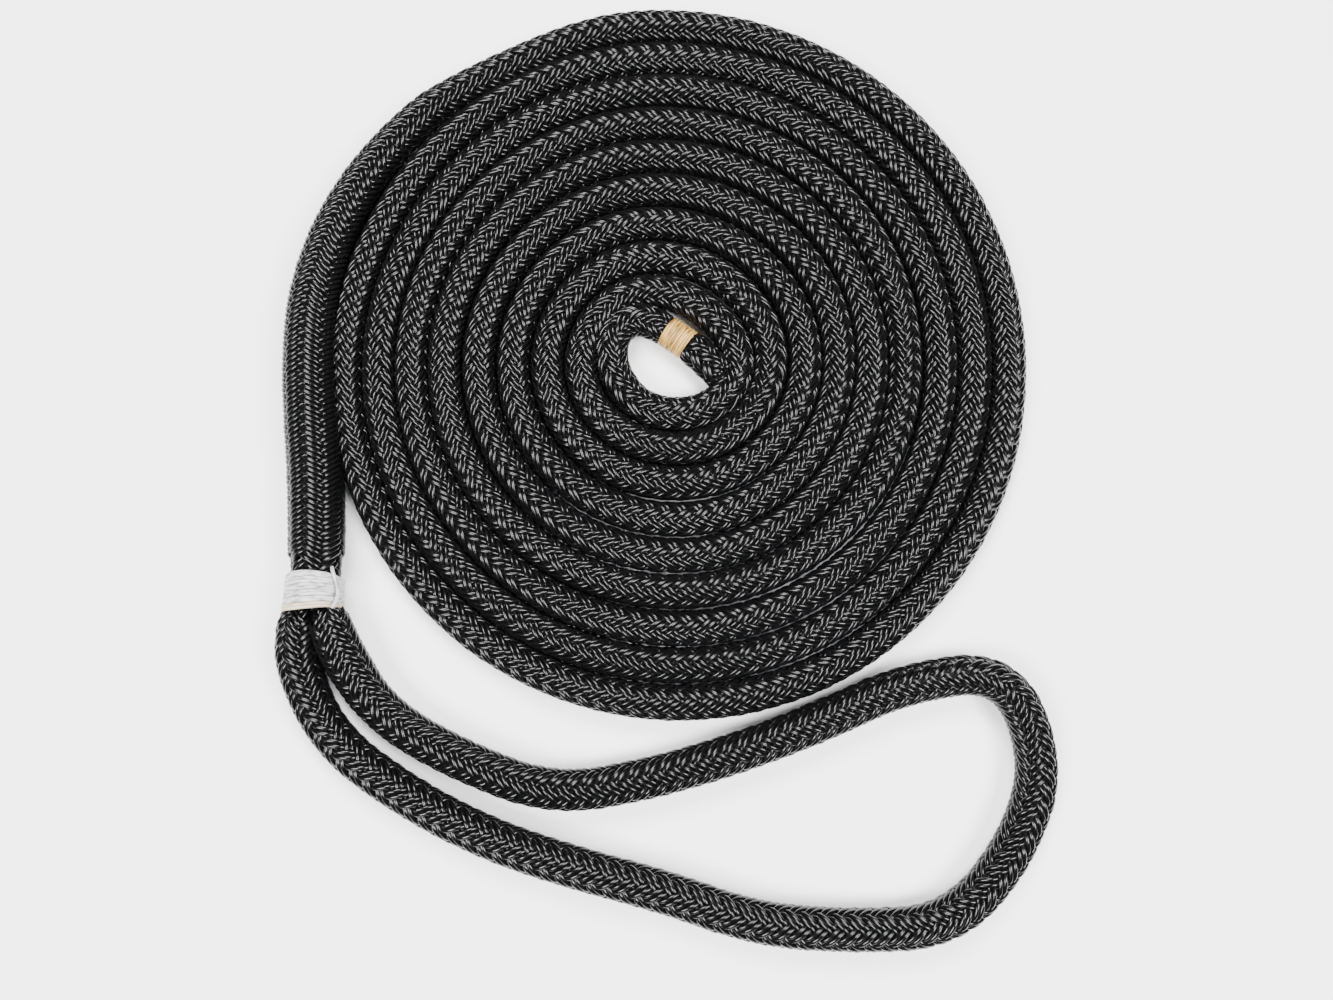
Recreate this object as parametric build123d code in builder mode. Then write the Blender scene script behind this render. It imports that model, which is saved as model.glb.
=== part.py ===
from build123d import *
import os
from math import cos, sin, pi, radians, tan

# Coiled dock line: double-braid rope laid on the floor as a flat spiral, with an eye
# spliced in its outer end.  Millimetres, +Z up, origin on the floor under the middle
# of the whole line.

# ---- driving dimensions -------------------------------------------------------------
rope_diameter = 13.2          # nominal 12.7 (1/2 in) line, measured over its braid
eye_diameter = 15.0           # cover of the eye, fuller than the standing part
splice_diameter = 20.8        # where the standing core and both tails share one cover
throat_diameter = 18.6        # splice squeezed by its whipping
cover_wall = 1.9              # thickness of the braided cover
gap = 0.3                     # clearance between soft pieces that lie side by side
floor_gap = 0.25              # the splice stands this clear of the floor

coil_x, coil_y = 4.7, 35.85   # centre of the coil
turn_pitch_x = 12.7           # growth of the spiral per turn, across
turn_pitch_y = 13.33          # and along: the coil is slightly oval
start_x, start_y = 13.95, 10.9   # half-widths the spiral would have at no turns
shift_x = -2.4                # the spiral grows a little to one side of its centre
coil_end = 9.333              # turns, counted from the +X side, where the splice begins
mouth_start = 0.5             # turns at which the inner turn closes round the middle hole
outline_steps = 24            # points per turn of the coil's outline
rim_radius = 5.4              # rounding of the coil's rim
lean = 5.8                    # how far the thick splice presses into the turn beside it
lean_start, lean_end = 8.36, 8.80

tail_diameter = 6.2           # core tail and cover tail buried in the splice
core_in_splice = 6.2          # standing core where it shares the cover with the tails
tail_spread = 3.5             # sideways place of each tail
tail_height = 12.6            # height of the tails in the splice
core_height = 6.9             # height of the standing core in the splice

throat_x = coil_x - 130.8     # axis of the throat
throat_top_y = coil_y - 76.8
whipping_turns = 12
twine_diameter = 1.36         # waxed whipping twine at the throat
throat_length = 17.2
flare_length = 9.6            # from the whipping to where both legs are full size
leg_spacing = 15.9            # between the legs' centres at the crotch
leg_middle_x = coil_x - 128.8
riding_angle = 27.0           # the riding turn lies high on the +X side of the whipping
riding_clearance = 0.05       # between the riding turn and the ridges under it
riding_rounding = 0.4

end_whipping_turns = 11
end_twine_diameter = 0.9
end_whipping_bed = 11.2       # bitter end squeezed by its whipping
end_whipping_from = 10.4      # along the straight run, from the corner before it
seal_thickness = 1.2
seal_inset = 0.4              # the seal is this much smaller than the rope
seal_rounding = 0.8

rope_radius = rope_diameter / 2
eye_radius = eye_diameter / 2
splice_radius = splice_diameter / 2
throat_radius = throat_diameter / 2
throat_z = splice_radius + floor_gap
throat_end_y = throat_top_y - throat_length
crotch_y = throat_end_y - flare_length

os.makedirs("parts", exist_ok=True)


def write_piece(builder, name):
    """Label one finished piece and write its STEP file."""
    builder.part.label = name
    export_step(builder.part, f"parts/{name}.step")


def placed(points, height):
    """Route points given from the coil's centre, as points in the part's frame."""
    return [(coil_x + x, coil_y + y, height) for x, y in points]


def corner_radii(points):
    """The largest arc each corner of a route allows: 0.45 of its shorter run."""
    radii = []
    for before, corner, after in zip(points, points[1:], points[2:]):
        run_in = Vector(*corner) - Vector(*before)
        run_out = Vector(*after) - Vector(*corner)
        turn = radians(run_in.get_angle(run_out))
        radii.append(0.45 * min(run_in.length, run_out.length) / tan(turn / 2))
    return radii


def route_line(points):
    """Straight runs joined by tangent arcs, called inside a BuildLine block."""
    return FilletPolyline(*points, radius=corner_radii(points))


def coil_point(turns, outward=0.0):
    """Centre of the rope after a number of turns, moved outward by a distance."""
    angle = 2 * pi * turns
    radius_x = start_x + turn_pitch_x * turns + outward
    radius_y = start_y + turn_pitch_y * turns + outward
    return (coil_x + shift_x + radius_x * cos(angle), coil_y + radius_y * sin(angle))


# ---- routes, as distances from the coil's centre ----------------------------------------
bitter_route = placed(
    [(-22.9, 0.6), (-23.0, 13.0), (-12.0, 18.2), (9.5, 4.4), (14.0, -6.6)], rope_radius
)
splice_route = [
    # x, y, radius of the cover
    (-70.5, 118.6, 6.6), (-89.6, 106.2, 6.8), (-106.8, 89.4, 7.4), (-121.0, 69.6, 8.2),
    (-131.0, 47.6, 9.2), (-136.4, 24.4, 9.9), (-136.8, 1.0, 10.2), (-135.0, -21.0, 10.4),
    (-132.4, -44.0, 10.4), (-131.0, -68.0, 10.4),
]
eye_route = placed(
    [
        (-120.8, -103.6), (-120.8, -111.5), (-104.0, -132.5), (-75.0, -148.5), (-43.0, -158.5),
        (-10.0, -154.0), (22.0, -145.5), (53.0, -134.0), (83.0, -120.5), (120.0, -114.0),
        (133.5, -148.0), (119.0, -181.5), (96.0, -203.5), (61.0, -205.5), (28.0, -203.0),
        (-4.0, -192.5), (-36.0, -184.5), (-67.0, -174.5), (-97.0, -159.0), (-124.0, -139.0),
        (-136.8, -113.5), (-136.8, -103.6),
    ],
    eye_radius,
)


# ---- the coil: one closed solid of the outer shape of its turns ---------------------------
def rim_inset(turns):
    """Inset of the rim beside the splice, smooth from nothing to its full depth."""
    along = (turns - lean_start) / (lean_end - lean_start)
    return lean * sin(pi * along) ** 0.8 if 0 < along < 1 else 0.0


one_turn = [step / outline_steps for step in range(outline_steps + 1)]
rim_turns = [coil_end - 1 + share for share in one_turn]
rim_points = [coil_point(turn, rope_radius - rim_inset(turn)) for turn in rim_turns]
mouth_points = [coil_point(mouth_start + share, -rope_radius) for share in one_turn]
bay_end = (coil_x + 15.0, coil_y - 9.0)   # a little past the bitter end's tip

with BuildPart() as rope_coil:
    with BuildSketch():
        with BuildLine():
            Spline(*rim_points)
            Line(rim_points[-1], rim_points[0])
        make_face()
        with BuildLine():
            Spline(*mouth_points)
            Line(mouth_points[-1], mouth_points[0])
        make_face(mode=Mode.SUBTRACT)
        with BuildLine(mode=Mode.PRIVATE) as end_bay:
            route_line([(x, y) for x, y, z in bitter_route[:-1]] + [bay_end])
        trace(end_bay.line, line_width=rope_diameter + 2 * gap, mode=Mode.SUBTRACT)
    extrude(amount=rope_diameter)
    top_rim = rope_coil.edges().group_by(Axis.Z)[-1].sort_by(SortBy.LENGTH)[-1]
    bottom_rim = rope_coil.edges().group_by(Axis.Z)[0].sort_by(SortBy.LENGTH)[-1]
    fillet([top_rim, bottom_rim], radius=rim_radius)
write_piece(rope_coil, "rope_coil")


# ---- the splice: a hollow cover that swells over the buried tails ---------------------------
def cross_plane(points, index):
    """Plane square to a route at one of its points."""
    before = Vector(*points[max(index - 1, 0)])
    after = Vector(*points[min(index + 1, len(points) - 1)])
    return Plane(origin=points[index], z_dir=after - before)


splice_centres = [(coil_x + x, coil_y + y, radius + floor_gap) for x, y, radius in splice_route]
splice_radii = [radius for x, y, radius in splice_route]
down_the_throat = Vector(0, -1, 0)
throat_top = Plane(origin=(throat_x, throat_top_y, throat_z), z_dir=down_the_throat)
throat_end = Plane(
    origin=(throat_x, throat_end_y, throat_z), x_dir=(1, 0, 0), z_dir=down_the_throat
)
crotch = Plane(
    origin=(leg_middle_x, crotch_y, eye_radius), x_dir=(1, 0, 0), z_dir=down_the_throat
)


def splice_stations():
    """Planes and radii along the splice, ending where the whipping begins."""
    stations = []
    for index, radius in enumerate(splice_radii):
        stations.append((cross_plane(splice_centres, index), radius))
    stations.append((throat_top, throat_radius))
    return stations


with BuildPart() as splice_cover:
    for wall, how in ((0.0, Mode.ADD), (cover_wall, Mode.SUBTRACT)):
        for plane, radius in splice_stations():
            with BuildSketch(plane):
                Circle(radius - wall)
        loft(mode=how)
    with BuildSketch(throat_top):
        Circle(throat_radius)
        Circle(throat_radius - cover_wall, mode=Mode.SUBTRACT)
    extrude(amount=throat_length)
    with BuildSketch(throat_end):
        Circle(throat_radius)
    with BuildSketch(crotch):
        Ellipse(leg_spacing / 2 + eye_radius, eye_radius)
    loft()
write_piece(splice_cover, "splice_cover")


def buried_route(first, side, height):
    """A route inside the splice, moved to one side of its centre, through the throat."""
    points = []
    for index in range(first, len(splice_centres) - 1):
        plane = cross_plane(splice_centres, index)
        across = plane.z_dir.cross(Vector(0, 0, 1)).normalized() * side
        points.append((plane.origin.X + across.X, plane.origin.Y + across.Y, height))
    points.append((throat_x - side, throat_top_y + 2.0, height))
    points.append((throat_x - side, throat_end_y, height))
    return points


def round_tube(points, diameter):
    """Sweep a full round section along a route, called inside a BuildPart block."""
    with BuildLine() as route:
        path = route_line(points)
    with BuildSketch(Plane(origin=path @ 0, z_dir=path % 0)) as section:
        Circle(diameter / 2)
    sweep(section.sketch, path=route.line)
    return path.length


with BuildPart() as standing_core:
    round_tube(buried_route(0, 0.0, core_height), core_in_splice)
write_piece(standing_core, "standing_core")

with BuildPart() as buried_core_tail:
    round_tube(buried_route(6, tail_spread, tail_height), tail_diameter)
write_piece(buried_core_tail, "buried_core_tail")

with BuildPart() as buried_cover_tail:
    round_tube(buried_route(7, -tail_spread, tail_height), tail_diameter)
write_piece(buried_cover_tail, "buried_cover_tail")

# ---- the eye: a hollow braided cover round its core -------------------------------------------
with BuildPart() as eye_cover:
    with BuildLine():
        eye_path = route_line(eye_route)
    with BuildSketch(Plane(origin=eye_path @ 0, z_dir=eye_path % 0)):
        Circle(eye_radius)
        Circle(eye_radius - cover_wall, mode=Mode.SUBTRACT)
    sweep()
write_piece(eye_cover, "eye_cover")

with BuildPart() as eye_core:
    eye_length = round_tube(eye_route, eye_diameter - 2 * cover_wall - 2 * gap)
write_piece(eye_core, "eye_core")


# ---- whippings: twine wound turn beside turn, each a sleeve with one ridge per turn --------------
def wound_sleeve(start, direction, bed, twine, turns):
    """A whipping round a bed of a given radius, called inside a BuildPart block."""
    side = Plane(origin=start, x_dir=direction, z_dir=(0, 0, 1))
    with BuildSketch(side) as profile:
        with BuildLine():
            Line((0, bed), (0, bed + twine / 2))
            for turn in range(turns):
                low = (turn * twine, bed + twine / 2)
                high = ((turn + 1) * twine, bed + twine / 2)
                RadiusArc(low, high, twine * 0.52)
            Line((turns * twine, bed + twine / 2), (turns * twine, bed))
            Line((turns * twine, bed), (0, bed))
        make_face()
    revolve(profile.sketch, axis=Axis(start, direction))


spare_length = throat_length - whipping_turns * twine_diameter
whipping_start = (throat_x, throat_top_y - spare_length / 2, throat_z)
with BuildPart() as throat_whipping:
    wound_sleeve(whipping_start, (0, -1, 0), throat_radius, twine_diameter, whipping_turns)
write_piece(throat_whipping, "throat_whipping")

riding_radius = throat_radius + 1.5 * twine_diameter + riding_clearance
riding_x = throat_x + riding_radius * cos(radians(riding_angle))
riding_z = throat_z + riding_radius * sin(radians(riding_angle))
with BuildPart() as throat_riding_turn:
    with BuildSketch(Plane(origin=(riding_x, throat_top_y, riding_z), z_dir=down_the_throat)):
        Circle(twine_diameter / 2)
    extrude(amount=throat_length)
    fillet(throat_riding_turn.edges().filter_by(GeomType.CIRCLE), radius=riding_rounding)
write_piece(throat_riding_turn, "throat_riding_turn")

# ---- the bitter end: cover and core, squeezed by their whipping and sealed by heat ---------------
corner_before, corner_after = Vector(*bitter_route[2]), Vector(*bitter_route[3])
end_direction = (corner_after - corner_before).normalized()
end_whipping_start = corner_before + end_direction * end_whipping_from
end_whipping_length = end_whipping_turns * end_twine_diameter

with BuildPart() as bitter_end_cover:
    with BuildLine():
        end_path = route_line(bitter_route)
    with BuildSketch(Plane(origin=end_path @ 0, z_dir=end_path % 0)):
        Circle(rope_radius)
        Circle(rope_radius - cover_wall, mode=Mode.SUBTRACT)
    sweep()
    with BuildSketch(Plane(origin=end_whipping_start, z_dir=end_direction)):
        Circle(rope_radius + gap)
        Circle(end_whipping_bed / 2, mode=Mode.SUBTRACT)
    extrude(amount=end_whipping_length, mode=Mode.SUBTRACT)
write_piece(bitter_end_cover, "bitter_end_cover")

with BuildPart() as bitter_end_whipping:
    wound_sleeve(
        end_whipping_start,
        end_direction,
        end_whipping_bed / 2,
        end_twine_diameter,
        end_whipping_turns,
    )
write_piece(bitter_end_whipping, "bitter_end_whipping")

with BuildPart() as bitter_end_core:
    end_length = round_tube(bitter_route, rope_diameter - 2 * cover_wall - 2 * gap)
write_piece(bitter_end_core, "bitter_end_core")

with BuildPart() as sealed_tip:
    with BuildSketch(Plane(origin=end_path @ 1, z_dir=end_path % 1)):
        Circle(rope_radius - seal_inset)
    extrude(amount=seal_thickness)
    fillet(sealed_tip.edges().filter_by(GeomType.CIRCLE)[-1], radius=seal_rounding)
write_piece(sealed_tip, "sealed_tip")

print("coil solid volume", round(rope_coil.part.volume))
print("eye length", round(eye_length, 1), "bitter end length", round(end_length, 1))
print("eye corner radii", [round(radius, 1) for radius in corner_radii(eye_route)])
print("bitter end corner radii", [round(radius, 1) for radius in corner_radii(bitter_route)])
wall_area = pi * (eye_radius**2 - (eye_radius - cover_wall) ** 2)
print("eye cover volume", round(eye_cover.part.volume))
print("eye cover section times length", round(wall_area * eye_length))
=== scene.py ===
import math

import bpy
import numpy as np
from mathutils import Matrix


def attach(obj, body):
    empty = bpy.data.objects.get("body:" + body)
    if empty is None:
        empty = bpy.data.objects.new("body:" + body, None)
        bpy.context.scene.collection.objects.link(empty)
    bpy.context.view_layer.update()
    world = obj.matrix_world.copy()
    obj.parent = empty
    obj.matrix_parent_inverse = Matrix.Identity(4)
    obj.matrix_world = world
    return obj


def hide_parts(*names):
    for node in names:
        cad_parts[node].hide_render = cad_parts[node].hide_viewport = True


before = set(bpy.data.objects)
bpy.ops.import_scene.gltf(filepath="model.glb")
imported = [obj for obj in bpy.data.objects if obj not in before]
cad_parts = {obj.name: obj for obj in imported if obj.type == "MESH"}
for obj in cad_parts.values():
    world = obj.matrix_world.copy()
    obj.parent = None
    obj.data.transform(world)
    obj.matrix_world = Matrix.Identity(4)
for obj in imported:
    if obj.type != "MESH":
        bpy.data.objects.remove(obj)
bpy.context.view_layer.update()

# Coiled dock line: a double-braid rope with an eye spliced in its outer end.
# Routes are given in metres from the coil's centre, as in the CAD source.

COIL = (0.0047, 0.03585)              # the coil's centre in the row frame
ROPE_R = 0.0066
CREST_R = 0.0067                      # over the yarns, which bite into the next turn
SPLICE_R = 0.0104
EYE_R = 0.0075
LEG_R = 0.0050                        # of each leg of the eye under the throat whipping
COVER_WALL = 0.0019                   # thickness of the braided cover
FLOOR_GAP = 0.00025
TURN_PITCH = (0.0127, 0.01333)        # growth of the spiral per turn, across and along
TURN_START = (0.01395, 0.0109)
COIL_SHIFT = -0.0024
COIL_FIRST, COIL_LAST = 0.7083, 9.333  # turns, counted from the +X side
STEPS_PER_TURN = 24
THROAT_X = -0.1308                    # axis of the throat
THROAT_TOP = -0.0768
THROAT_Z = SPLICE_R + FLOOR_GAP
WHIPPING_PLACE = 0.0232               # middle of the end whipping, from the bitter end
END_INSET = 0.0005                    # from a route's end to the first ring of its braid

random = np.random.default_rng(41)


# ---- camera, lights and floor ------------------------------------------------------------
def aim_camera():
    """A camera high over the line, tilted a little towards its far side."""
    data = bpy.data.cameras.new("camera")
    data.sensor_width = 36.0
    data.lens = 27.63
    camera = bpy.data.objects.new("camera", data)
    camera.location = (0.00149, -0.06502, 0.3835)
    camera.rotation_euler = (math.radians(7.3), 0.0, 0.0)
    bpy.context.scene.collection.objects.link(camera)
    bpy.context.scene.camera = camera


def area_light(name, place, target, size, watts):
    """A square soft light at one place, facing another."""
    data = bpy.data.lights.new(name, "AREA")
    data.shape = "SQUARE"
    data.size = size
    data.energy = watts
    lamp = bpy.data.objects.new(name, data)
    lamp.location = place
    away = np.array(target, float) - np.array(place, float)
    yaw = math.atan2(away[1], away[0])
    down = math.acos(-away[2] / np.linalg.norm(away))
    lamp.rotation_euler = (down, 0.0, yaw - math.pi / 2)
    bpy.context.scene.collection.objects.link(lamp)


def light_the_studio():
    """A surround that is pale below the horizon and dim above, and three soft lights."""
    world = bpy.data.worlds.new("studio")
    world.use_nodes = True
    tree = world.node_tree
    direction = tree.nodes.new("ShaderNodeTexCoord")
    split = tree.nodes.new("ShaderNodeSeparateXYZ")
    shade = tree.nodes.new("ShaderNodeValToRGB")
    ramp = shade.color_ramp
    ramp.elements[0].color = (1.0, 1.0, 1.0, 1.0)
    ramp.elements[1].position = 0.4
    ramp.elements[1].color = (0.06, 0.06, 0.06, 1.0)
    ramp.elements.new(0.02).color = (0.55, 0.55, 0.55, 1.0)
    tree.links.new(direction.outputs["Generated"], split.inputs["Vector"])
    tree.links.new(split.outputs["Z"], shade.inputs["Fac"])
    tree.links.new(shade.outputs["Color"], tree.nodes["Background"].inputs["Color"])
    bpy.context.scene.world = world
    reach, height = 0.75, 1.05
    for number in range(3):
        angle = math.radians(100 + 120 * number)
        place = (reach * math.cos(angle), reach * math.sin(angle), height)
        area_light(f"soft_light_{number + 1}", place, (0.0, 0.0, 0.0), 0.54, 37.0)


def lay_floor():
    """A plain pale floor under the line."""
    half = 1.0
    mesh = bpy.data.meshes.new("floor")
    mesh.from_pydata([(-half, -half, 0), (half, -half, 0), (half, half, 0), (-half, half, 0)],
                     [], [(0, 1, 2, 3)])
    floor = bpy.data.objects.new("floor", mesh)
    bpy.context.scene.collection.objects.link(floor)
    material = bpy.data.materials.new("pale_floor")
    material.use_nodes = True
    shader = material.node_tree.nodes["Principled BSDF"]
    shader.inputs["Base Color"].default_value = (0.95, 0.95, 0.95, 1.0)
    shader.inputs["Roughness"].default_value = 0.75
    mesh.materials.append(material)


# ---- materials ---------------------------------------------------------------------------
def new_material(name, colour, roughness, **sockets):
    """A material with its constant values set on the shader's own sockets."""
    material = bpy.data.materials.new(name)
    material.use_nodes = True
    shader = material.node_tree.nodes["Principled BSDF"]
    shader.inputs["Base Color"].default_value = (*colour, 1.0)
    shader.inputs["Roughness"].default_value = roughness
    for socket, value in sockets.items():
        shader.inputs[socket.replace("_", " ")].default_value = value
    return material


MIX_SHARE, MIX_FIRST, MIX_SECOND = 0, 6, 7   # colour inputs of a mix node, by number
MIX_RESULT = 2


def stained(material, start, end, colour):
    """A mix that turns a twine halfway to another colour past a length along it."""
    tree = material.node_tree
    place = tree.nodes.new("ShaderNodeUVMap")
    place.uv_map = "yarn"
    split = tree.nodes.new("ShaderNodeSeparateXYZ")
    share = tree.nodes.new("ShaderNodeMapRange")
    share.inputs["From Min"].default_value = start
    share.inputs["From Max"].default_value = end
    share.inputs["To Max"].default_value = 0.5
    mix = tree.nodes.new("ShaderNodeMix")
    mix.data_type = "RGBA"
    mix.inputs[MIX_SECOND].default_value = (*colour, 1.0)
    tree.links.new(place.outputs["UV"], split.inputs["Vector"])
    tree.links.new(split.outputs["Y"], share.inputs["Value"])
    tree.links.new(share.outputs["Result"], mix.inputs[MIX_SHARE])
    return mix


def streak(material, around, along, dark, light, stain):
    """Colour a twine in fine streaks: noise stretched round and along it, under any stain."""
    tree = material.node_tree
    place = tree.nodes.new("ShaderNodeUVMap")
    place.uv_map = "yarn"
    stretch = tree.nodes.new("ShaderNodeMapping")
    stretch.inputs["Scale"].default_value = (around, along, 1.0)
    noise = tree.nodes.new("ShaderNodeTexNoise")
    noise.inputs["Scale"].default_value = 1.0
    noise.inputs["Detail"].default_value = 3.0
    ramp = tree.nodes.new("ShaderNodeValToRGB")
    ramp.color_ramp.elements[0].position = 0.34
    ramp.color_ramp.elements[0].color = (*dark, 1.0)
    ramp.color_ramp.elements[1].position = 0.56
    ramp.color_ramp.elements[1].color = (*light, 1.0)
    tree.links.new(place.outputs["UV"], stretch.inputs["Vector"])
    tree.links.new(stretch.outputs["Vector"], noise.inputs["Vector"])
    tree.links.new(noise.outputs["Fac"], ramp.inputs["Fac"])
    shader = tree.nodes["Principled BSDF"]
    if stain:
        tree.links.new(ramp.outputs["Color"], stain.inputs[MIX_FIRST])
        tree.links.new(stain.outputs[MIX_RESULT], shader.inputs["Base Color"])
    else:
        tree.links.new(ramp.outputs["Color"], shader.inputs["Base Color"])


def make_materials():
    """The line's finishes: black nylon, white and cream twine, melted nylon."""
    nylon = new_material("black_nylon", (0.0022, 0.0022, 0.0024), 0.19, Specular_IOR_Level=0.32)
    core = new_material("core_nylon", (0.002, 0.002, 0.002), 0.7, Specular_IOR_Level=0.2)
    white = new_material("white_twine", (0.6, 0.6, 0.6), 0.4)
    stain = stained(white, 0.60, 0.64, (0.50, 0.34, 0.15))
    streak(white, 3.0, 220.0, (0.17, 0.17, 0.18), (0.55, 0.55, 0.55), stain)
    cream = new_material("cream_twine", (0.6, 0.42, 0.2), 0.4)
    streak(cream, 2.0, 160.0, (0.09, 0.032, 0.004), (0.50, 0.30, 0.075), None)
    melted = new_material("melted_nylon", (0.006, 0.006, 0.006), 0.28)
    return {"nylon": nylon, "core": core, "white": white, "cream": cream, "melted": melted}


# ---- routes ------------------------------------------------------------------------------
def in_frame(points):
    """Points given from the coil's centre, moved to the row frame."""
    return [(COIL[0] + x, COIL[1] + y, z) for x, y, z in points]


def bell(value, middle, spread):
    """1 at the middle, falling evenly to nothing on both sides."""
    return np.exp(-(((value - middle) / spread) ** 2))


def coil_turns():
    """The spiral's control points. The near side lies a little to the right, and the
    inner turns are pressed in towards the upper right and at their near side."""
    cut = 1 / math.cos(math.pi / STEPS_PER_TURN)
    points = []
    count = round((COIL_LAST - COIL_FIRST) * STEPS_PER_TURN)
    for step in range(count):
        turns = COIL_FIRST + step / STEPS_PER_TURN
        angle = 2 * math.pi * turns
        upper_right = 0.0032 * max(0.0, math.cos(angle - 0.91))**3.7 * bell(turns, 1.14, 3.2)
        first_bulge = 0.0012 * bell(turns, 1.33, 0.09)
        near_side = max(0.0, -math.sin(angle))
        near_press = 0.0010 * near_side**4 * math.exp((0.75 - turns) / 1.5)
        pressed = upper_right - first_bulge + near_press
        radius_x = (TURN_START[0] + TURN_PITCH[0] * turns) * cut - pressed
        radius_y = (TURN_START[1] + TURN_PITCH[1] * turns) * cut - pressed
        middle = COIL_SHIFT - 0.0008 * bell(turns, 5.5, 1.5)
        middle += 0.00022 * turns * near_side
        middle_y = 0.0010 * smooth_step(turns - 1.2)
        points.append((middle + radius_x * math.cos(angle),
                       middle_y + radius_y * math.sin(angle), ROPE_R))
    return points


BITTER_POINTS = [
    (0.0182, -0.0060, 0.0072), (0.0106, 0.0022, 0.0070), (0.0014, 0.0090, ROPE_R),
    (-0.0130, 0.0184, ROPE_R), (-0.0240, 0.0120, ROPE_R), (-0.0245, -0.0030, ROPE_R),
    (-0.0160, -0.0150, ROPE_R),
]
SPLICE_POINTS = [
    (-0.0896, 0.1062, 0.0070), (-0.1068, 0.0894, 0.0077), (-0.1210, 0.0696, 0.0085),
    (-0.1310, 0.0476, 0.0095), (-0.1364, 0.0244, 0.0102), (-0.1368, 0.0010, 0.0105),
    (-0.1350, -0.0210, THROAT_Z), (-0.1324, -0.0440, THROAT_Z), (-0.1310, -0.0680, THROAT_Z),
    (THROAT_X, -0.0800, THROAT_Z), (THROAT_X, -0.0930, THROAT_Z),
]
EYE_POINTS = [
    (-0.1272, -0.0800, 0.0110), (-0.1268, -0.0920, 0.0112), (-0.1222, -0.1070, 0.0096),
    (-0.1060, -0.1310, 0.0082), (-0.0750, -0.1480, 0.0076), (-0.0430, -0.1590, 0.0076),
    (-0.0100, -0.1535, 0.0076), (0.0220, -0.1445, 0.0076), (0.0530, -0.1330, 0.0076),
    (0.0830, -0.1195, 0.0076), (0.1200, -0.1145, 0.0076), (0.1325, -0.1490, 0.0076),
    (0.1190, -0.1810, 0.0076), (0.0960, -0.2040, 0.0076), (0.0610, -0.2055, 0.0076),
    (0.0280, -0.2030, 0.0076), (-0.0040, -0.1920, 0.0076), (-0.0360, -0.1840, 0.0076),
    (-0.0670, -0.1740, 0.0076), (-0.0970, -0.1590, 0.0076), (-0.1240, -0.1395, 0.0081),
    (-0.1373, -0.1130, 0.0087), (-0.1366, -0.0945, 0.0090), (-0.1346, -0.0800, 0.0104),
]


def smooth_line(name, points, samples):
    """Points along the NURBS spline through a route's control points."""
    curve = bpy.data.curves.new(name, "CURVE")
    curve.dimensions = "3D"
    spline = curve.splines.new("NURBS")
    spline.points.add(len(points) - 1)
    for point, place in zip(spline.points, points):
        point.co = (*place, 1.0)
    spline.order_u = 3
    spline.use_endpoint_u = True
    curve.resolution_u = samples
    carrier = bpy.data.objects.new(name, curve)
    bpy.context.scene.collection.objects.link(carrier)
    bpy.context.view_layer.update()
    mesh = bpy.data.meshes.new_from_object(carrier)
    line = np.empty(len(mesh.vertices) * 3)
    mesh.vertices.foreach_get("co", line)
    bpy.data.objects.remove(carrier)
    bpy.data.meshes.remove(mesh)
    bpy.data.curves.remove(curve)
    return line.reshape(-1, 3)


def along(line):
    """Distance along a line at each of its points."""
    steps = np.linalg.norm(np.diff(line, axis=0), axis=1)
    return np.concatenate([[0.0], np.cumsum(steps)])


def at(line, distance, wanted):
    """Places on a line at given distances along it."""
    return np.stack([np.interp(wanted, distance, line[:, axis]) for axis in range(3)], axis=-1)


def smooth_step(value):
    """0 below 0, 1 above 1, and an even curve between."""
    value = np.clip(value, 0.0, 1.0)
    return value * value * (3.0 - 2.0 * value)


def normalised(vectors):
    """The same directions, each one unit long."""
    return vectors / np.linalg.norm(vectors, axis=-1, keepdims=True)


def slow_noise(length, spacing, amount):
    """A gentle random change along a length, as a function of the distance."""
    knots = np.arange(-2, int(length / spacing) + 4) * spacing
    heights = random.uniform(-amount, amount, len(knots))
    fine = np.linspace(knots[0], knots[-1], len(knots) * 8)
    values = np.interp(fine, knots, heights)
    kernel = np.hanning(17)
    values = np.convolve(values, kernel / kernel.sum(), mode="same")
    return lambda distance: np.interp(distance, fine, values)


# ---- meshes ------------------------------------------------------------------------------
def mesh_piece(name, points, faces, uvs, material):
    """One smooth-shaded mesh object that rides the line's body."""
    mesh = bpy.data.meshes.new(name)
    mesh.vertices.add(len(points))
    mesh.vertices.foreach_set("co", np.ascontiguousarray(points, np.float32).ravel())
    mesh.loops.add(faces.size)
    mesh.loops.foreach_set("vertex_index", faces.astype(np.int32).ravel())
    mesh.polygons.add(len(faces))
    mesh.polygons.foreach_set("loop_start", np.arange(len(faces), dtype=np.int32) * 4)
    mesh.update(calc_edges=True)
    mesh.polygons.foreach_set("use_smooth", np.ones(len(faces), bool))
    layer = mesh.uv_layers.new(name="yarn")
    layer.uv.foreach_set("vector", np.ascontiguousarray(uvs, np.float32).ravel())
    mesh.materials.append(material)
    piece = bpy.data.objects.new(name, mesh)
    bpy.context.scene.collection.objects.link(piece)
    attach(piece, "root")
    return piece


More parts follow.
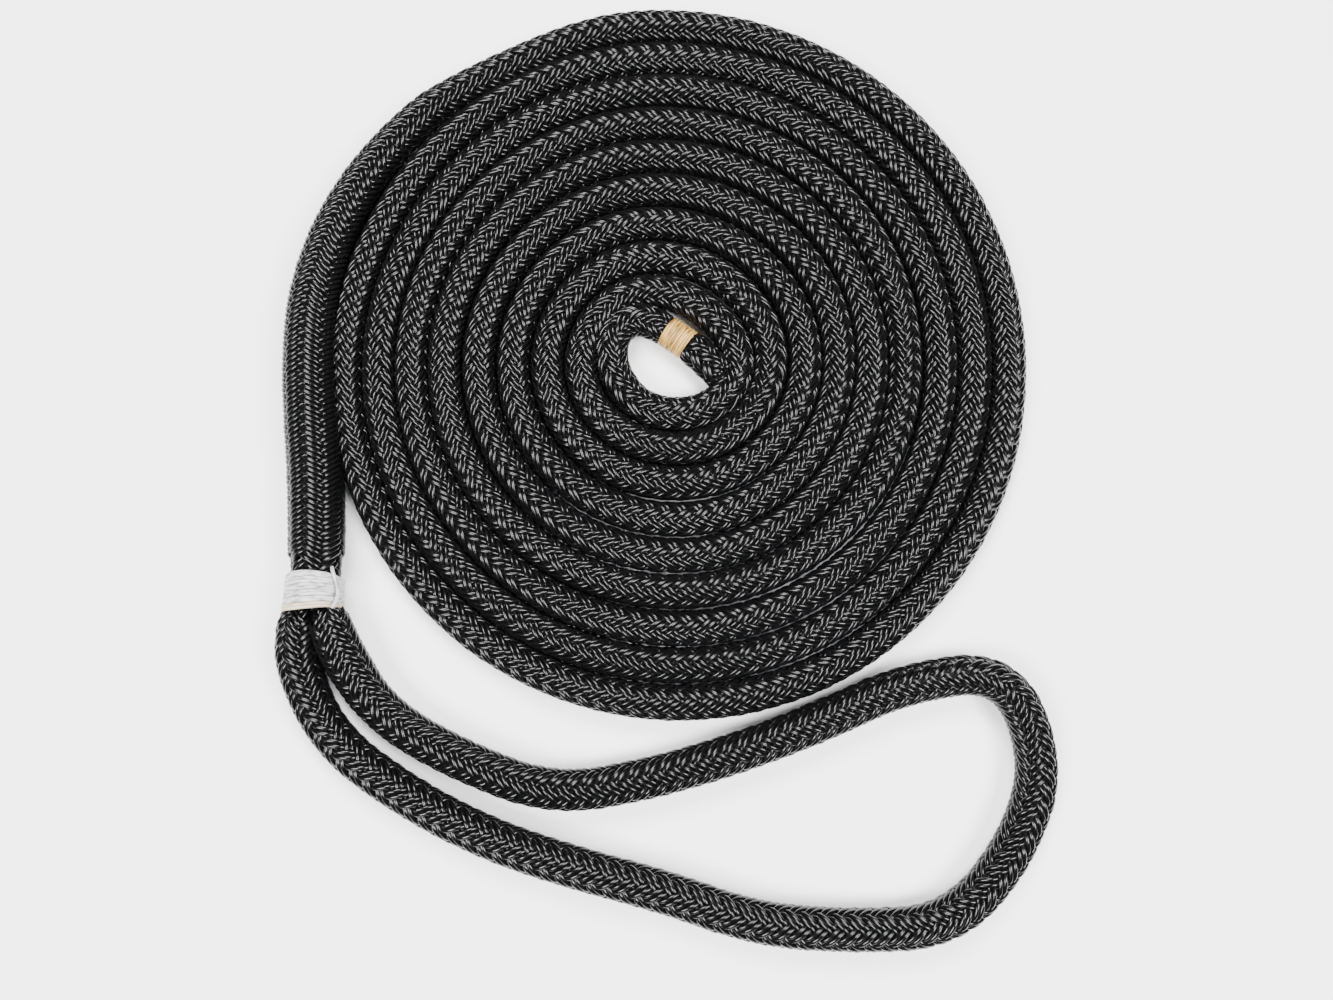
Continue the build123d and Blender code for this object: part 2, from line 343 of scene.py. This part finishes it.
def tube_grid(rings):
    """Faces and yarn coordinates of a tube; rings is (count, sides, 3)."""
    count, sides = rings.shape[:2]
    ring = np.arange(count - 1)[:, None] * sides
    side = np.arange(sides)[None, :]
    after = (side + 1) % sides
    faces = np.stack([ring + side, ring + after, ring + sides + after, ring + sides + side], -1)
    steps = np.linalg.norm(np.diff(rings.mean(1), axis=0), axis=1)
    run = np.concatenate([[0.0], np.cumsum(steps)])
    low, high = run[:-1, None], run[1:, None]
    left = np.broadcast_to(side / sides, (count - 1, sides))
    right = np.broadcast_to((side + 1) / sides, (count - 1, sides))
    low = np.broadcast_to(low, left.shape)
    high = np.broadcast_to(high, left.shape)
    uvs = np.stack([np.stack([left, low], -1), np.stack([right, low], -1),
                    np.stack([right, high], -1), np.stack([left, high], -1)], -2)
    return faces.reshape(-1, 4), uvs.reshape(-1, 4, 2)


def tubes_piece(name, tubes, material):
    """Join tubes, each a grid of rings, into one piece; the ends narrow nearly to a point."""
    points, faces, uvs, start = [], [], [], 0
    left_open = 0.02
    for rings in tubes:
        ends = []
        for ring in (rings[:1], rings[-1:]):
            middle = ring.mean(1, keepdims=True)
            ends.append(middle * (1 - left_open) + ring * left_open)
        closed = np.concatenate([ends[0], rings, ends[1]])
        tube_faces, tube_uvs = tube_grid(closed)
        points.append(closed.reshape(-1, 3))
        faces.append(tube_faces + start)
        uvs.append(tube_uvs)
        start += closed.shape[0] * closed.shape[1]
    return mesh_piece(name, np.concatenate(points), np.concatenate(faces),
                      np.concatenate(uvs), material)


def swept_rings(centres, across, out, half_width, half_height, sides, turn=0.0):
    """Elliptical rings round a line of centres, turned by a share of one side."""
    angle = (np.arange(sides) + turn) / sides * 2 * math.pi
    wide = np.cos(angle)[None, :, None] * np.reshape(half_width, (-1, 1, 1)) * across[:, None]
    high = np.sin(angle)[None, :, None] * np.reshape(half_height, (-1, 1, 1)) * out[:, None]
    return centres[:, None] + wide + high


# ---- the braid ---------------------------------------------------------------------------
CARRIERS = 8                          # strands that wind each way round the rope
STEPS_PER_LEAD = 40                   # rings of a yarn per turn of its strand round the rope
WEAVE = 0.00062                       # how far a strand moves in and out
YARN_HIGH = 0.00078                   # half the height of a yarn
YARN_WIDE = 0.00087                   # half the width of a yarn on the plain rope
LEAD = 0.0503                         # length of one turn of a strand on the plain rope
LEAD_LOSS = 5.4                       # how much of it goes for each metre of added radius
WEAVE_ROUNDING = 0.18                 # how gently a strand passes from over to under


def lead_length(radius):
    """Length of one turn of a strand: shorter where the cover is stretched wide."""
    return LEAD - (radius - CREST_R) * LEAD_LOSS


def frames(line, distance, wanted):
    """Centre, sideways and upward directions of the rope at distances along it."""
    step = 0.0008
    centre = at(line, distance, wanted)
    ahead = at(line, distance, wanted + step) - at(line, distance, wanted - step)
    ahead = normalised(ahead)
    side = normalised(np.cross(ahead, np.array([0.0, 0.0, 1.0])))
    return centre, side, np.cross(side, ahead)


def braid_rings(line, radius_at, start, end, phase_from):
    """Evenly paced stations along the braid: their distances and their winding angles."""
    distance = along(line)
    fine = np.linspace(0.0, distance[-1], int(distance[-1] / 0.0005))
    winding = np.concatenate([[0.0], np.cumsum(2 * math.pi / lead_length(radius_at(fine[:-1])))])
    winding = winding * (fine[1] - fine[0]) + phase_from
    first, last = np.interp([start, end], fine, winding)
    count = int((last - first) / (2 * math.pi) * STEPS_PER_LEAD)
    angle = np.linspace(first, last, count)
    return np.interp(angle, winding, fine), angle


def strand_tubes(line, radius_at, stations, winding, hand, index, twist):
    """The two yarns of one strand, as grids of rings."""
    distance = along(line)
    centre, side, up = frames(line, distance, stations)
    outer = radius_at(stations)
    weave = WEAVE * np.minimum(1.0, outer / ROPE_R)
    middle = outer - weave - YARN_HIGH
    place = hand * winding + 2 * math.pi * index / CARRIERS
    float_wave = np.cos(4 * (place - math.pi / 16))
    over = hand * float_wave / np.sqrt(float_wave**2 + WEAVE_ROUNDING)
    over = over * math.sqrt(1 + WEAVE_ROUNDING)
    wander = slow_noise(distance[-1], 0.012, 0.00009)
    drift = slow_noise(distance[-1], 0.016, 0.00014)
    radius = middle + weave * over + wander(stations)
    turned = place + twist(stations)
    out = np.cos(turned)[:, None] * side + np.sin(turned)[:, None] * up
    spine = centre + radius[:, None] * out
    forward = normalised(np.gradient(spine, axis=0))
    across = normalised(np.cross(out, forward))
    lift = np.cross(forward, across)
    round_it = 2 * math.pi * middle
    pitch = round_it / CARRIERS / np.sqrt(1 + (round_it / lead_length(outer)) ** 2)
    half = pitch / 4 * 1.03
    high = YARN_HIGH * np.clip(half / YARN_WIDE, 0.7, 1.1)
    tubes = []
    for sign in (-1, 1):
        own = slow_noise(distance[-1], 0.009, 0.00006)
        yarn = spine + across * (sign * half * 0.97 + drift(stations))[:, None]
        yarn = yarn + lift * (own(stations) - 0.00010)[:, None]
        tubes.append(swept_rings(yarn, across, lift, half, high, 6, 0.5))
    return tubes


def braided(name, line, radius_at, start, end, phase_from, material, core_material):
    """Sixteen strands over a smooth inner core; returns the core, the strands and the route."""
    stations, winding = braid_rings(line, radius_at, start, end, phase_from)
    distance = along(line)
    twist = slow_noise(distance[-1], 0.22, 0.7)
    strands = []
    for index in range(CARRIERS):
        for hand, way in ((1, "right"), (-1, "left")):
            tubes = strand_tubes(line, radius_at, stations, winding, hand, index, twist)
            strands.append(tubes_piece(f"{name}_{way}_strand_{index + 1}", tubes, material))
    spaced = np.linspace(start, end, int((end - start) / 0.002))
    centre, side, up = frames(line, distance, spaced)
    inner = radius_at(spaced) - COVER_WALL
    core = tubes_piece(f"{name}_inner_braid", [swept_rings(centre, side, up, inner, inner, 20)],
                       core_material)
    return core, strands, centre


# ---- twine -------------------------------------------------------------------------------
def twine_turns(start, direction, bed, thick, advance, turns, slant):
    """A twine wound round a bed: one helix of touching turns with small faults."""
    steps = 40                        # rings per turn
    direction = normalised(np.array(direction, float))
    side = normalised(np.cross(direction, np.array([0.0, 0.0, 1.0])))
    up = np.cross(side, direction)
    angle = np.linspace(0, 2 * math.pi * turns, turns * steps)
    fault = slow_noise(turns * steps, 17.0, 1.0)(np.arange(turns * steps))
    fault_out = slow_noise(turns * steps, 23.0, 1.0)(np.arange(turns * steps))
    share = angle / (2 * math.pi * turns)
    ahead = share * (turns - 1) * advance + slant(share, angle) + fault * thick * 0.16
    radius = bed(share, angle) + thick / 2 + fault_out * thick * 0.10
    out = np.cos(angle)[:, None] * side + np.sin(angle)[:, None] * up
    line = np.array(start) + ahead[:, None] * direction + radius[:, None] * out
    forward = normalised(np.gradient(line, axis=0))
    across = normalised(np.cross(out, forward))
    lift = np.cross(forward, across)
    return swept_rings(line, across, lift, thick * 0.5, thick * 0.5, 10)


def build_throat_whipping(materials):
    """The throat whipping and the riding turn over it."""
    top = in_frame([(THROAT_X, THROAT_TOP - 0.0056, THROAT_Z)])[0]
    thick = 0.00128
    bed_radius = 0.0092

    def throat_bed(share, angle):
        return bed_radius + 0.0013 * share * np.clip(np.cos(angle), 0, 1)

    def throat_slant(share, angle):
        bow = -0.0029 * (1 - share) * np.clip(np.sin(angle), 0, 1)
        return bow + 0.0012 * share * np.clip(np.cos(angle), -0.6, 1)

    wound = twine_turns(top, (0, -1, 0), throat_bed, thick, 0.00098, 12, throat_slant)
    throat = tubes_piece("wound_throat_twine", [wound], materials["white"])
    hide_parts("throat_whipping")

    riding_points = in_frame([
        (THROAT_X + 0.0076, THROAT_TOP - 0.0012, THROAT_Z + 0.0060),
        (THROAT_X + 0.0084, THROAT_TOP - 0.0022, THROAT_Z + 0.0084),
        (THROAT_X + 0.0097, THROAT_TOP - 0.0060, THROAT_Z + 0.0074),
        (THROAT_X + 0.0104, THROAT_TOP - 0.0095, THROAT_Z + 0.0068),
        (THROAT_X + 0.0103, THROAT_TOP - 0.0125, THROAT_Z + 0.0070),
        (THROAT_X + 0.0094, THROAT_TOP - 0.0148, THROAT_Z + 0.0077),
        (THROAT_X + 0.0080, THROAT_TOP - 0.0160, THROAT_Z + 0.0066),
    ])
    line = smooth_line("riding_line", riding_points, 12)
    distance = along(line)
    inset = 0.0006
    places = np.linspace(inset, distance[-1] - inset, 40)
    centre, side, up = frames(line, distance, places)
    rings = swept_rings(centre, side, up, thick * 0.5, thick * 0.45, 12)
    riding = tubes_piece("riding_throat_twine", [rings], materials["white"])
    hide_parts("throat_riding_turn")


# ---- the whole line ----------------------------------------------------------------------
def line_radius(throat_distance):
    """Radius of the standing line: squeezed by the end whipping, swollen by the splice."""
    def radius_at(distance):
        back = throat_distance - distance
        swell = smooth_step((0.220 - back) / 0.165) * (SPLICE_R - CREST_R)
        pinch = smooth_step(1 - back / 0.006) * 0.0014
        end_squeeze = np.exp(-(((distance - WHIPPING_PLACE) / 0.0062) ** 4)) * 0.0013
        tip = smooth_step(1 - distance / 0.002) * 0.0008
        return CREST_R + swell - pinch - end_squeeze - tip
    return radius_at


def eye_radius(total):
    """Radius of the eye's rope, narrow where both legs go under the whipping."""
    def radius_at(distance):
        from_end = np.minimum(distance, total - distance)
        shoulder = bell(from_end, 0.031, 0.015) * 0.0007
        return LEG_R + smooth_step((from_end - 0.0095) / 0.010) * (EYE_R - LEG_R) + shoulder
    return radius_at


def build_standing_part(materials):
    """The line from bitter end to throat; returns its route."""
    control = in_frame(BITTER_POINTS + coil_turns() + SPLICE_POINTS)
    line = smooth_line("standing_route", control, 12)
    distance = along(line)
    top_y = COIL[1] + THROAT_TOP
    near_throat = distance > distance[-1] - 0.05
    throat_distance = np.interp(-top_y, -line[near_throat, 1], distance[near_throat])
    radius_at = line_radius(throat_distance)
    core, strands, path = braided(
        "standing", line, radius_at, END_INSET, distance[-1] - END_INSET, 0.0,
        materials["nylon"], materials["core"])
    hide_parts("rope_coil", "splice_cover", "standing_core", "buried_core_tail",
                "buried_cover_tail", "bitter_end_cover", "bitter_end_core")
    length = along(path)[-1]
    return line


def build_eye(materials):
    """The loop of rope from one side of the throat round to the other."""
    eye_line = smooth_line("eye_route", in_frame(EYE_POINTS), 24)
    eye_total = along(eye_line)[-1]
    eye_core, eye_strands, eye_path = braided(
        "eye", eye_line, eye_radius(eye_total), END_INSET, eye_total - END_INSET, 0.4,
        materials["nylon"], materials["core"])
    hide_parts("eye_cover", "eye_core")
    eye_length = along(eye_path)[-1]


def build_end_whipping(materials, line):
    """The fine whipping near the bitter end, wound round the squeezed rope."""
    distance = along(line)
    turns, thick = 11, 0.00093
    bed_radius = 0.0053
    start = WHIPPING_PLACE - turns * thick / 2
    steps = 36                        # rings per turn
    angle = np.linspace(0, 2 * math.pi * turns, turns * steps)
    fault = slow_noise(turns * steps, 19.0, 1.0)(np.arange(turns * steps))
    place = start + angle / (2 * math.pi) * thick + fault * thick * 0.1
    centre, side, up = frames(line, distance, place)
    radius = bed_radius + thick * 0.4 + fault * thick * 0.06
    out = np.cos(angle)[:, None] * side + np.sin(angle)[:, None] * up
    wound = centre + radius[:, None] * out
    forward = normalised(np.gradient(wound, axis=0))
    across = normalised(np.cross(out, forward))
    lift = np.cross(forward, across)
    rings = swept_rings(wound, across, lift, thick * 0.53, thick * 0.45, 10)
    whipping = tubes_piece("wound_end_twine", [rings], materials["cream"])
    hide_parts("bitter_end_whipping")


def build_seal(materials, line):
    """The melted seal on the cut end: a lumpy dome."""
    layers = np.linspace(0, 1, 9)
    tip_place = 0.0012 - 0.0020 * np.sin(layers * math.pi / 2)
    base = 0.0015
    centre, side, up = frames(line, along(line), np.full(9, base))
    forward = np.cross(up, side)
    centre = centre + forward * (tip_place - base)[:, None]
    width = 0.0052 * np.cos(layers * math.pi / 2 * 0.97)
    rings = swept_rings(centre, side, up, width, width, 28)
    lumps = random.uniform(-0.00012, 0.00012, rings.shape)
    seal = tubes_piece("melted_tip", [rings + lumps], materials["melted"])
    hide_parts("sealed_tip")


aim_camera()
light_the_studio()
lay_floor()
finishes = make_materials()
standing_line = build_standing_part(finishes)
build_eye(finishes)
build_throat_whipping(finishes)
build_end_whipping(finishes, standing_line)
build_seal(finishes, standing_line)
